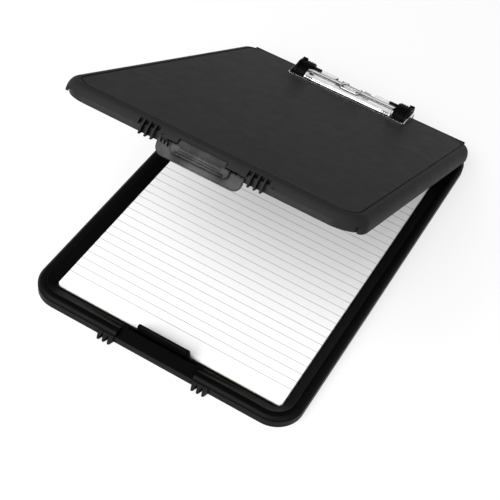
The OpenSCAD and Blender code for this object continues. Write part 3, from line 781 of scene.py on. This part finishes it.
@dataclass(frozen=True)
class PaperPad:
    """The pad of ruled sheets on its board.

    Attributes:
        layers: layers of sheets that can be told apart at the pad's edge.
        air_mm: gap between two layers.
        shuffle_mm, shuffle_rad: how far a layer may be shifted and turned.
        edge_clear_mm: what the shuffled layers stay inside the pad's outline by.
        corner_mm, corner_steps: radius of the sheets' corners, and its steps.
        board_soft_mm: rounding of the board's edges.
        seed: seed of the shuffle.
    """

    layers: int = 9
    air_mm: float = 0.05
    shuffle_mm: float = 0.18
    shuffle_rad: float = 0.0006
    edge_clear_mm: float = 0.12
    corner_mm: float = 2.3
    corner_steps: int = 6
    board_soft_mm: float = 0.1
    seed: int = 11

    def build(self, finishes: Finishes) -> None:
        """Models the sheets layer by layer, a little out of line, and dresses the board.

        Args:
            finishes: the finishes of the box.
        """
        low, high = (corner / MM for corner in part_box("writing_pad"))
        rng = random.Random(self.seed)
        step = (high.z - low.z) / self.layers
        bm = bmesh.new()
        for i in range(self.layers):
            top = i == self.layers - 1
            dx, dy = (0.0, 0.0) if top else (rng.uniform(-1, 1) * self.shuffle_mm for _ in range(2))
            turn = 0.0 if top else rng.uniform(-1, 1) * self.shuffle_rad
            self._layer(bm, low, high, low.z + i * step, step - self.air_mm, (dx, dy, turn))
        pad = Shaper.finish("ruled_sheets", bm, finishes.paper, Body.TRAY, Slot.PAPER)
        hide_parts("writing_pad")
        for face in pad.data.polygons:
            face.use_smooth = False
        Shaper.dress_node("pad_backing_board", finishes.board, self.board_soft_mm)

    def _layer(self, bm: bmesh.types.BMesh, low: Vector, high: Vector, z: float, thick: float,
               drift: tuple[float, float, float]) -> None:
        """Adds one layer of sheets with rounded corners.

        Args:
            bm: bmesh to add to.
            low, high: box of the pad.
            z: underside of the layer.
            thick: its thickness.
            drift: shift in X and Y, and turn in radians.
        """
        margin = self.shuffle_mm + self.edge_clear_mm
        size = Matrix.Diagonal((high.x - low.x - 2 * margin, high.y - low.y - 2 * margin, 1, 1))
        middle = ((low.x + high.x) / 2 + drift[0], (low.y + high.y) / 2 + drift[1], z)
        place = Matrix.Translation(middle) @ Matrix.Rotation(drift[2], 4, "Z") @ size
        made = bmesh.ops.create_grid(bm, x_segments=1, y_segments=1, size=0.5, matrix=place)
        rounded = bmesh.ops.bevel(bm, geom=made["verts"], offset=self.corner_mm, offset_type="OFFSET",
                                  segments=self.corner_steps, profile=0.5, affect="VERTICES", material=-1)
        face = next(f for f in bm.faces if any(v in rounded["verts"] for v in f.verts))
        grown = bmesh.ops.extrude_face_region(bm, geom=[face])
        moved = [v for v in grown["geom"] if isinstance(v, bmesh.types.BMVert)]
        bmesh.ops.translate(bm, vec=(0, 0, thick), verts=moved)


@dataclass(frozen=True)
class HingeGroup:
    """The hinge pins and the latch pin."""

    nodes: tuple[str, ...] = ("hinge_pin_left", "hinge_pin_right", "latch_pin")
    soft_mm: float = 0.25

    def dress(self, finishes: Finishes) -> None:
        """Gives the pins their finish."""
        for node in self.nodes:
            Shaper.dress_node(node, finishes.pin_steel, self.soft_mm)


@dataclass(frozen=True)
class LidGroup:
    """The lid moulding and its inner frame."""

    soft_mm: float = 0.3
    frame_soft_mm: float = 0.2

    def dress(self, finishes: Finishes) -> None:
        """Gives the lid and its frame their finish."""
        Shaper.dress_node("lid_shell", finishes.lid_plastic, self.soft_mm)
        Shaper.dress_node("lid_inner_frame", finishes.frame_plastic, self.frame_soft_mm)


@dataclass(frozen=True)
class LatchGroup:
    """The latch flap with its raised thumb pad."""

    soft_mm: float = 0.3

    def dress(self, finishes: Finishes) -> None:
        """Gives the flap its finish."""
        Shaper.dress_node("latch_flap", finishes.latch_plastic, self.soft_mm)


@dataclass(frozen=True)
class ClipSizes:
    """Sizes that the clip's pieces share, in millimetres, with the lid closed.

    Attributes:
        base: underside of the base plate.
        front: front edge of the base plate.
        rod_y, rod_z, rod_r: axis and radius of the pivot rod.
        jaw_half_w: half the jaw's width.
        sheet: thickness of the sheet metal.
        height: height of the jaw over the plate's underside.
        jaw_inset: jaw's front behind the plate's front edge.
        jaw_bend: reach of the jaw's curved front.
    """

    base: float
    front: float
    rod_y: float
    rod_z: float
    rod_r: float
    jaw_half_w: float
    sheet: float = 1.0
    height: float = 9.0
    jaw_inset: float = 2.2
    jaw_bend: float = 10.0

    @staticmethod
    def from_frame(place: LidPlace) -> "ClipSizes":
        """Measures the clip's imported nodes.

        Args:
            place: where the lid group stands.
        Returns:
            The clip's sizes.
        """
        plate_low, _ = place.closed_box("clip_base_plate")
        rod_low, rod_high = place.closed_box("clip_pivot_rod")
        _, jaw_high = place.closed_box("clip_jaw_plate")
        return ClipSizes(base=plate_low.z, front=plate_low.y, rod_y=(rod_low.y + rod_high.y) / 2,
                         rod_z=(rod_low.z + rod_high.z) / 2, rod_r=(rod_high.z - rod_low.z) / 2,
                         jaw_half_w=jaw_high.x)


@dataclass(frozen=True)
class SpringWire:
    """The clip's spring: two feet, two coils on the rod and one loop over the jaw, in millimetres.

    Attributes:
        clip: sizes of the clip.
        wire_r: radius of the wire.
        turns, turn_steps: turns of a coil, and points in each.
        gap: gap between two turns.
        inner_x: inner end of a coil.
        rod_clear, foot_clear, jaw_clear: what the wire stays off the rod, the plate and the jaw by.
        feet: how far in front of the rod the points of a foot lie.
        foot_spread: how far each of them lies outside the one before.
        loop_back: front of the loop behind the jaw's front.
        loop_share: height of the loop's front as a share of the clip's.
        sides, steps: resolution of the tube round the wire, and between two points.
    """

    clip: ClipSizes
    wire_r: float = 0.65
    turns: int = 4
    turn_steps: int = 16
    gap: float = 0.5
    inner_x: float = 8.0
    rod_clear: float = 0.5
    foot_clear: float = 0.3
    jaw_clear: float = 0.55
    feet: tuple[float, ...] = (4.5, 9.0, 14.0)
    foot_spread: float = 0.4
    loop_back: float = 2.2
    loop_share: float = 0.62
    sides: int = 2
    steps: int = 2

    def path(self) -> list[Point]:
        """Lays out the wire from its left foot to its right one.

        Returns:
            Points along the wire.
        """
        left = self._loop(-1)[::-1] + self._coil(-1) + self._foot(-1)
        right = self._loop(1)[::-1] + self._coil(1) + self._foot(1)
        return left[::-1] + right

    @property
    def _pitch(self) -> float:
        """Distance from turn to turn."""
        return 2 * self.wire_r + self.gap

    def _coil(self, side: int) -> list[Point]:
        """Winds one coil, from its inner end outwards.

        Args:
            side: -1 for the left coil, 1 for the right one.
        Returns:
            Points along the coil.
        """
        radius = self.clip.rod_r + self.wire_r + self.rod_clear
        points = []
        for i in range(self.turns * self.turn_steps + 1):
            a = math.pi + 2 * math.pi * i / self.turn_steps
            x = self.inner_x + self._pitch * i / self.turn_steps
            y = self.clip.rod_y + radius * math.cos(a)
            z = self.clip.rod_z + radius * math.sin(a)
            points.append((side * x, y, z))
        return points

    def _foot(self, side: int) -> list[Point]:
        """Lays one foot on the base plate, from the coil towards the front.

        Args:
            side: -1 for the left foot, 1 for the right one.
        Returns:
            Points along the foot.
        """
        end = self.inner_x + self.turns * self._pitch
        z = self.clip.base + self.clip.sheet + self.wire_r + self.foot_clear
        return [(side * (end + self.foot_spread * (k + 1)), self.clip.rod_y - ahead, z)
                for k, ahead in enumerate(self.feet)]

    def _loop(self, side: int) -> list[Point]:
        """Leads one half of the loop from its coil over the jaw to the loop's front.

        Args:
            side: -1 for the left half, 1 for the right one.
        Returns:
            Points along that half.
        """
        top = self.clip.base + self.clip.height
        over = top + self.wire_r + self.jaw_clear
        low = self.clip.base + self.clip.sheet + self.loop_share * self.clip.height + self.wire_r
        rod = self.clip.rod_y
        jaw = self.clip.front + self.clip.jaw_inset
        bend = jaw + self.clip.jaw_bend
        front = jaw + self.loop_back
        rising = [(-1.6, rod - 5.5, top - 0.4), (-0.6, rod - 10, over)]
        forward = [(1.0, bend - 2, over), (2.0, jaw + 4.4, over - 1)]
        turning = [(1.6, front + 0.5, low + 0.5), (-0.4, front - 0.2, low), (-3.0, front - 0.2, low)]
        return [(side * (self.inner_x + dx), y, z) for dx, y, z in rising + forward + turning]


@dataclass(frozen=True)
class JawTrim:
    """Fine pieces on the jaw: knuckles at the ends of its rolled lip and ridges on its front.

    Sizes are in millimetres.

    Attributes:
        clip: sizes of the clip.
        knuckles, knuckle_pitch, knuckle_inset: knuckles at each end, their spacing and inset.
        knuckle_r, knuckle_half_w, knuckle_round: radius, half width and rounding of a knuckle.
        knuckle_y, knuckle_z: axis of the knuckles from the plate's front edge and underside.
        knuckle_steps, ridge_steps: faces round a knuckle and round a ridge.
        ridges, ridge_r, ridge_half_w, ridge_round: number, radius, half width and rounding.
        ridge_foot: height where the jaw's curved front begins.
        ridge_first_deg, ridge_step_deg: place of the first ridge on the curve, and the step to the next.
    """

    clip: ClipSizes
    knuckles: int = 3
    knuckle_pitch: float = 2.4
    knuckle_inset: float = 2.2
    knuckle_r: float = 1.6
    knuckle_half_w: float = 0.8
    knuckle_round: float = 0.5
    knuckle_y: float = 2.1
    knuckle_z: float = 2.75
    knuckle_steps: int = 24
    ridges: int = 5
    ridge_r: float = 0.35
    ridge_half_w: float = 6.5
    ridge_round: float = 0.2
    ridge_foot: float = 1.1
    ridge_first_deg: float = 104.0
    ridge_step_deg: float = 6.0
    ridge_steps: int = 12

    def lip_knuckles(self) -> bmesh.types.BMesh:
        """Models the curled knuckles at both ends of the lip.

        Returns:
            The knuckles.
        """
        axis = (self.clip.front + self.knuckle_y, self.clip.base + self.knuckle_z)
        bm = bmesh.new()
        for side in (-1, 1):
            for k in range(self.knuckles):
                x = side * (self.clip.jaw_half_w - self.knuckle_inset - self.knuckle_pitch * k)
                ends = (x - self.knuckle_half_w, x + self.knuckle_half_w)
                Shaper.rod(bm, self.knuckle_r, ends, axis, self.knuckle_round, self.knuckle_steps)
        return bm

    def front_ridges(self) -> bmesh.types.BMesh:
        """Models the ridges across the curved front, between the two halves of the spring.

        Returns:
            The ridges.
        """
        y0 = self.clip.front + self.clip.jaw_inset + self.clip.jaw_bend
        z0 = self.clip.base + self.ridge_foot
        rise = self.clip.height - self.ridge_foot
        ends = (-self.ridge_half_w, self.ridge_half_w)
        bm = bmesh.new()
        for k in range(self.ridges):
            a = math.radians(self.ridge_first_deg + self.ridge_step_deg * k)
            axis = (y0 + self.clip.jaw_bend * math.cos(a), z0 + rise * math.sin(a))
            Shaper.rod(bm, self.ridge_r, ends, axis, self.ridge_round, self.ridge_steps)
        return bm


@dataclass(frozen=True)
class TubularRivets:
    """The two rivets that hold the clip, with domed heads and rolled tails, in millimetres.

    Attributes:
        clip: sizes of the clip.
        head_r, shank_r, tail_r: radii of the head, the shank and the rolled tail.
        tail_h: height of the rolled tail.
        bore_r, bore_h: radius and depth of the bore in the tail.
        steps: steps round a rivet.
    """

    clip: ClipSizes
    head_r: float = 2.9
    shank_r: float = 1.6
    tail_r: float = 2.6
    tail_h: float = 0.9
    bore_r: float = 1.0
    bore_h: float = 1.2
    steps: int = 32

    def shape(self, low: Vector, high: Vector) -> bmesh.types.BMesh:
        """Models both rivets.

        Args:
            low, high: box of the two rivets.
        Returns:
            The rivets.
        """
        plate = self.clip.base + self.clip.sheet
        dimple = [(0.0, plate + 0.5), (0.7, plate + 0.55), (0.85, high.z - 0.1)]
        dome = [(1.4, high.z), (2.2, high.z - 0.2), (self.head_r - 0.15, plate + 0.35), (self.head_r, plate)]
        shank = [(self.shank_r, plate), (self.shank_r, low.z + self.tail_h)]
        roll = [(self.tail_r, low.z + self.tail_h), (self.tail_r, low.z + 0.4), (2.1, low.z), (1.5, low.z)]
        bore_top = low.z + self.bore_h
        bore = [(self.bore_r + 0.1, low.z + 0.3), (self.bore_r, bore_top), (0.0, bore_top)]
        y = (low.y + high.y) / 2
        bm = bmesh.new()
        for side in (-1, 1):
            x = side * (high.x - self.head_r)
            profile = [(x + r, y, z) for r, z in dimple + dome + shank + roll + bore]
            Shaper.spun(bm, profile, (x, y, 0), (0, 0, 1), self.steps)
        return bm


@dataclass(frozen=True)
class ClipGroup:
    """The clip: base plate, rod, jaw, spring, grips, rivets and washers.

    Attributes:
        place: where the lid group stands.
        sheet_soft_mm, grip_soft_mm: rounding of the steel's and of the grips' edges.
    """

    place: LidPlace
    sheet_soft_mm: float = 0.2
    grip_soft_mm: float = 0.35

    def build(self, finishes: Finishes) -> None:
        """Dresses the clip's nodes and adds the rounded pieces.

        Args:
            finishes: the finishes of the box.
        """
        for node in ("clip_base_plate", "clip_jaw_plate", "clip_pivot_rod", "clip_rivet_washers"):
            Shaper.dress_node(node, finishes.sheet_steel, self.sheet_soft_mm)
        for node in ("clip_grip_left", "clip_grip_right"):
            Shaper.dress_node(node, finishes.grip, self.grip_soft_mm)
        steel = finishes.sheet_steel
        turn = self.place.matrix
        sizes = ClipSizes.from_frame(self.place)
        wire = SpringWire(sizes)
        tube = Shaper.tube(wire.path(), wire.wire_r, wire.sides, wire.steps)
        spring = Shaper.finish("spring_wire_form", tube, finishes.wire_steel, Body.LID, Slot.WIRE, turn)
        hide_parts("clip_spring")
        trim = JawTrim(sizes)
        Shaper.finish("jaw_lip_knuckles", trim.lip_knuckles(), steel, Body.JAW, Slot.STEEL, turn)
        Shaper.finish("jaw_middle_ridges", trim.front_ridges(), steel, Body.JAW, Slot.STEEL, turn)
        heads = TubularRivets(sizes).shape(*self.place.closed_box("clip_rivets"))
        rivets = Shaper.finish("rivet_heads", heads, steel, Body.LID, Slot.STEEL, turn)
        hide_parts("clip_rivets")


# ---------- studio


@dataclass(frozen=True)
class SoftLamp:
    """A square soft lamp.

    Attributes:
        name: name of the lamp.
        at: its place in metres.
        side: length of its side in metres.
        power: its power in watts.
    """

    name: str
    at: Point
    side: float
    power: float


@dataclass(frozen=True)
class Studio:
    """Plain pale floor, white surroundings, soft lamps and the camera.

    Attributes:
        floor_side, floor_drop: side of the floor, and how far it lies under the object, in metres.
        floor_tone, floor_glow: tone of the floor, and the share of plain white that the camera sees in it.
        surround: strength of the world on matt surfaces.
        card_low, card_high: heights of a ray between which reflections meet the dark card.
        card_fade_low, card_fade_high: soft edges of the card.
        card_tone: tone of the card.
        camera_at, camera_ahead, camera_up: place and directions of the camera.
        lens_mm, sensor_mm: its lens and the width of its sensor.
        lamps: the soft lamps.
        lamps_aim: what they point at.
    """

    floor_side: float = 6.0
    floor_drop: float = 0.0002
    floor_tone: float = 0.93
    floor_glow: float = 0.68
    surround: float = 0.3
    card_low: float = 0.1
    card_high: float = 0.88
    card_fade_low: float = 0.05
    card_fade_high: float = 0.1
    card_tone: float = 0.08
    camera_at: Point = (0.26452, -0.65769, 0.78367)
    camera_ahead: Point = (-0.2508, 0.60139, -0.75857)
    camera_up: Point = (-0.44086, 0.62669, 0.64258)
    lens_mm: float = 84.248
    sensor_mm: float = 36.0
    lamps: tuple[SoftLamp, ...] = (
        SoftLamp("key_softbox", (-0.6, -1.5, 1.5), 2.2, 70.0),
        SoftLamp("fill_softbox", (1.3, -0.9, 1.0), 1.2, 10.0),
        SoftLamp("back_softbox", (0.2, 1.5, 1.2), 1.2, 2.5),
    )
    lamps_aim: Point = (0.0, 0.0, 0.05)

    def build(self) -> None:
        """Builds the whole studio."""
        self._world()
        self._floor()
        self._lamps()
        self._camera()
        bpy.context.scene.view_settings.view_transform = "Standard"

    @staticmethod
    def _seen(bench: NodeBench) -> Output:
        """Adds a value that is 1 for camera, glossy and transmission rays.

        Args:
            bench: bench to add to.
        Returns:
            The output that gives it.
        """
        path = bench.add("ShaderNodeLightPath")
        total = (path, "Is Camera Ray")
        for name in ("Is Glossy Ray", "Is Transmission Ray"):
            total = bench.maths("ADD", total, (path, name))
            total[0].use_clamp = True
        return total

    def _world(self) -> None:
        """Sets surroundings that light the object gently and are white to the camera."""
        world = bpy.data.worlds.new("white_surround")
        bpy.context.scene.world = world
        world.use_nodes = True
        bench = NodeBench(world.node_tree)
        glow = bench.add("ShaderNodeBackground")
        glow.inputs["Color"].default_value = (1, 1, 1, 1)
        strength = bench.add("ShaderNodeMapRange")
        strength.inputs["To Min"].default_value = self.surround
        bench.link(self._dark_card(bench), strength, "To Max")
        bench.link(self._seen(bench), strength, "Value")
        bench.link((strength, "Result"), glow, "Strength")
        bench.link((glow, 0), bench.add("ShaderNodeOutputWorld"), "Surface")

    def _dark_card(self, bench: NodeBench) -> Output:
        """Adds the tone that rays meet: white, with a dark card all round that only reflections see.

        Args:
            bench: the world's bench.
        Returns:
            The output that gives the tone.
        """
        split = bench.add("ShaderNodeSeparateXYZ")
        bench.link((bench.add("ShaderNodeTexCoord"), "Generated"), split, 0)
        foot = (self.card_low, self.card_low + self.card_fade_low)
        head = (self.card_high - self.card_fade_high, self.card_high)
        below = bench.ramp((split, "Z"), foot, (1.0, self.card_tone))
        above = bench.ramp((split, "Z"), head, (self.card_tone, 1.0))
        tone = bench.maths("MAXIMUM", below, above)
        return bench.maths("MAXIMUM", tone, (bench.add("ShaderNodeLightPath"), "Is Camera Ray"))

    def _floor(self) -> None:
        """Lays the pale floor, which keeps the object's shadow."""
        bm = bmesh.new()
        bmesh.ops.create_grid(bm, x_segments=1, y_segments=1, size=self.floor_side / 2)
        mesh = bpy.data.meshes.new("studio_floor")
        bm.to_mesh(mesh)
        bm.free()
        floor = bpy.data.objects.new("studio_floor", mesh)
        bpy.context.scene.collection.objects.link(floor)
        floor.location.z = -self.floor_drop
        material = bpy.data.materials.new("pale_floor")
        material.use_nodes = True
        bench = NodeBench(material.node_tree)
        matt = bench.add("ShaderNodeBsdfDiffuse")
        matt.inputs["Color"].default_value = (self.floor_tone,) * 3 + (1,)
        mix = bench.add("ShaderNodeMixShader")
        bench.link(bench.maths("MULTIPLY", self._seen(bench), self.floor_glow), mix, 0)
        bench.link((matt, 0), mix, 1)
        bench.link((bench.add("ShaderNodeEmission"), 0), mix, 2)
        bench.link((mix, 0), bench.add("ShaderNodeOutputMaterial"), "Surface")
        mesh.materials.append(material)

    def _lamps(self) -> None:
        """Hangs the soft lamps, all aimed at the object."""
        for lamp in self.lamps:
            light = bpy.data.lights.new(lamp.name, "AREA")
            light.shape = "SQUARE"
            light.size = lamp.side
            light.energy = lamp.power
            holder = bpy.data.objects.new(lamp.name, light)
            bpy.context.scene.collection.objects.link(holder)
            holder.location = lamp.at
            way = Vector(self.lamps_aim) - Vector(lamp.at)
            holder.rotation_euler = way.to_track_quat("-Z", "Y").to_euler()

    def _camera(self) -> None:
        """Places the camera at the photograph's angle."""
        camera = bpy.data.cameras.new("view_camera")
        camera.lens = self.lens_mm
        camera.sensor_width = self.sensor_mm
        camera.clip_start = 0.01
        camera.clip_end = 50.0
        holder = bpy.data.objects.new("view_camera", camera)
        bpy.context.scene.collection.objects.link(holder)
        ahead = Vector(self.camera_ahead).normalized()
        right = ahead.cross(Vector(self.camera_up)).normalized()
        up = right.cross(ahead)
        turn = Matrix((right, up, -ahead)).transposed().to_4x4()
        holder.matrix_world = Matrix.Translation(self.camera_at) @ turn
        bpy.context.scene.camera = holder


def write_sizes() -> None:
    bpy.context.view_layer.update()


def main() -> None:
    """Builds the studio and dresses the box."""
    logging.basicConfig(level=logging.INFO, format="%(message)s")
    place = LidPlace.from_frame()
    finishes = Finishes.build()
    Studio().build()
    TrayGroup().dress(finishes)
    PaperPad().build(finishes)
    HingeGroup().dress(finishes)
    LidGroup().dress(finishes)
    LatchGroup().dress(finishes)
    ClipGroup(place).build(finishes)
    write_sizes()


if __name__ == "__main__":
    main()
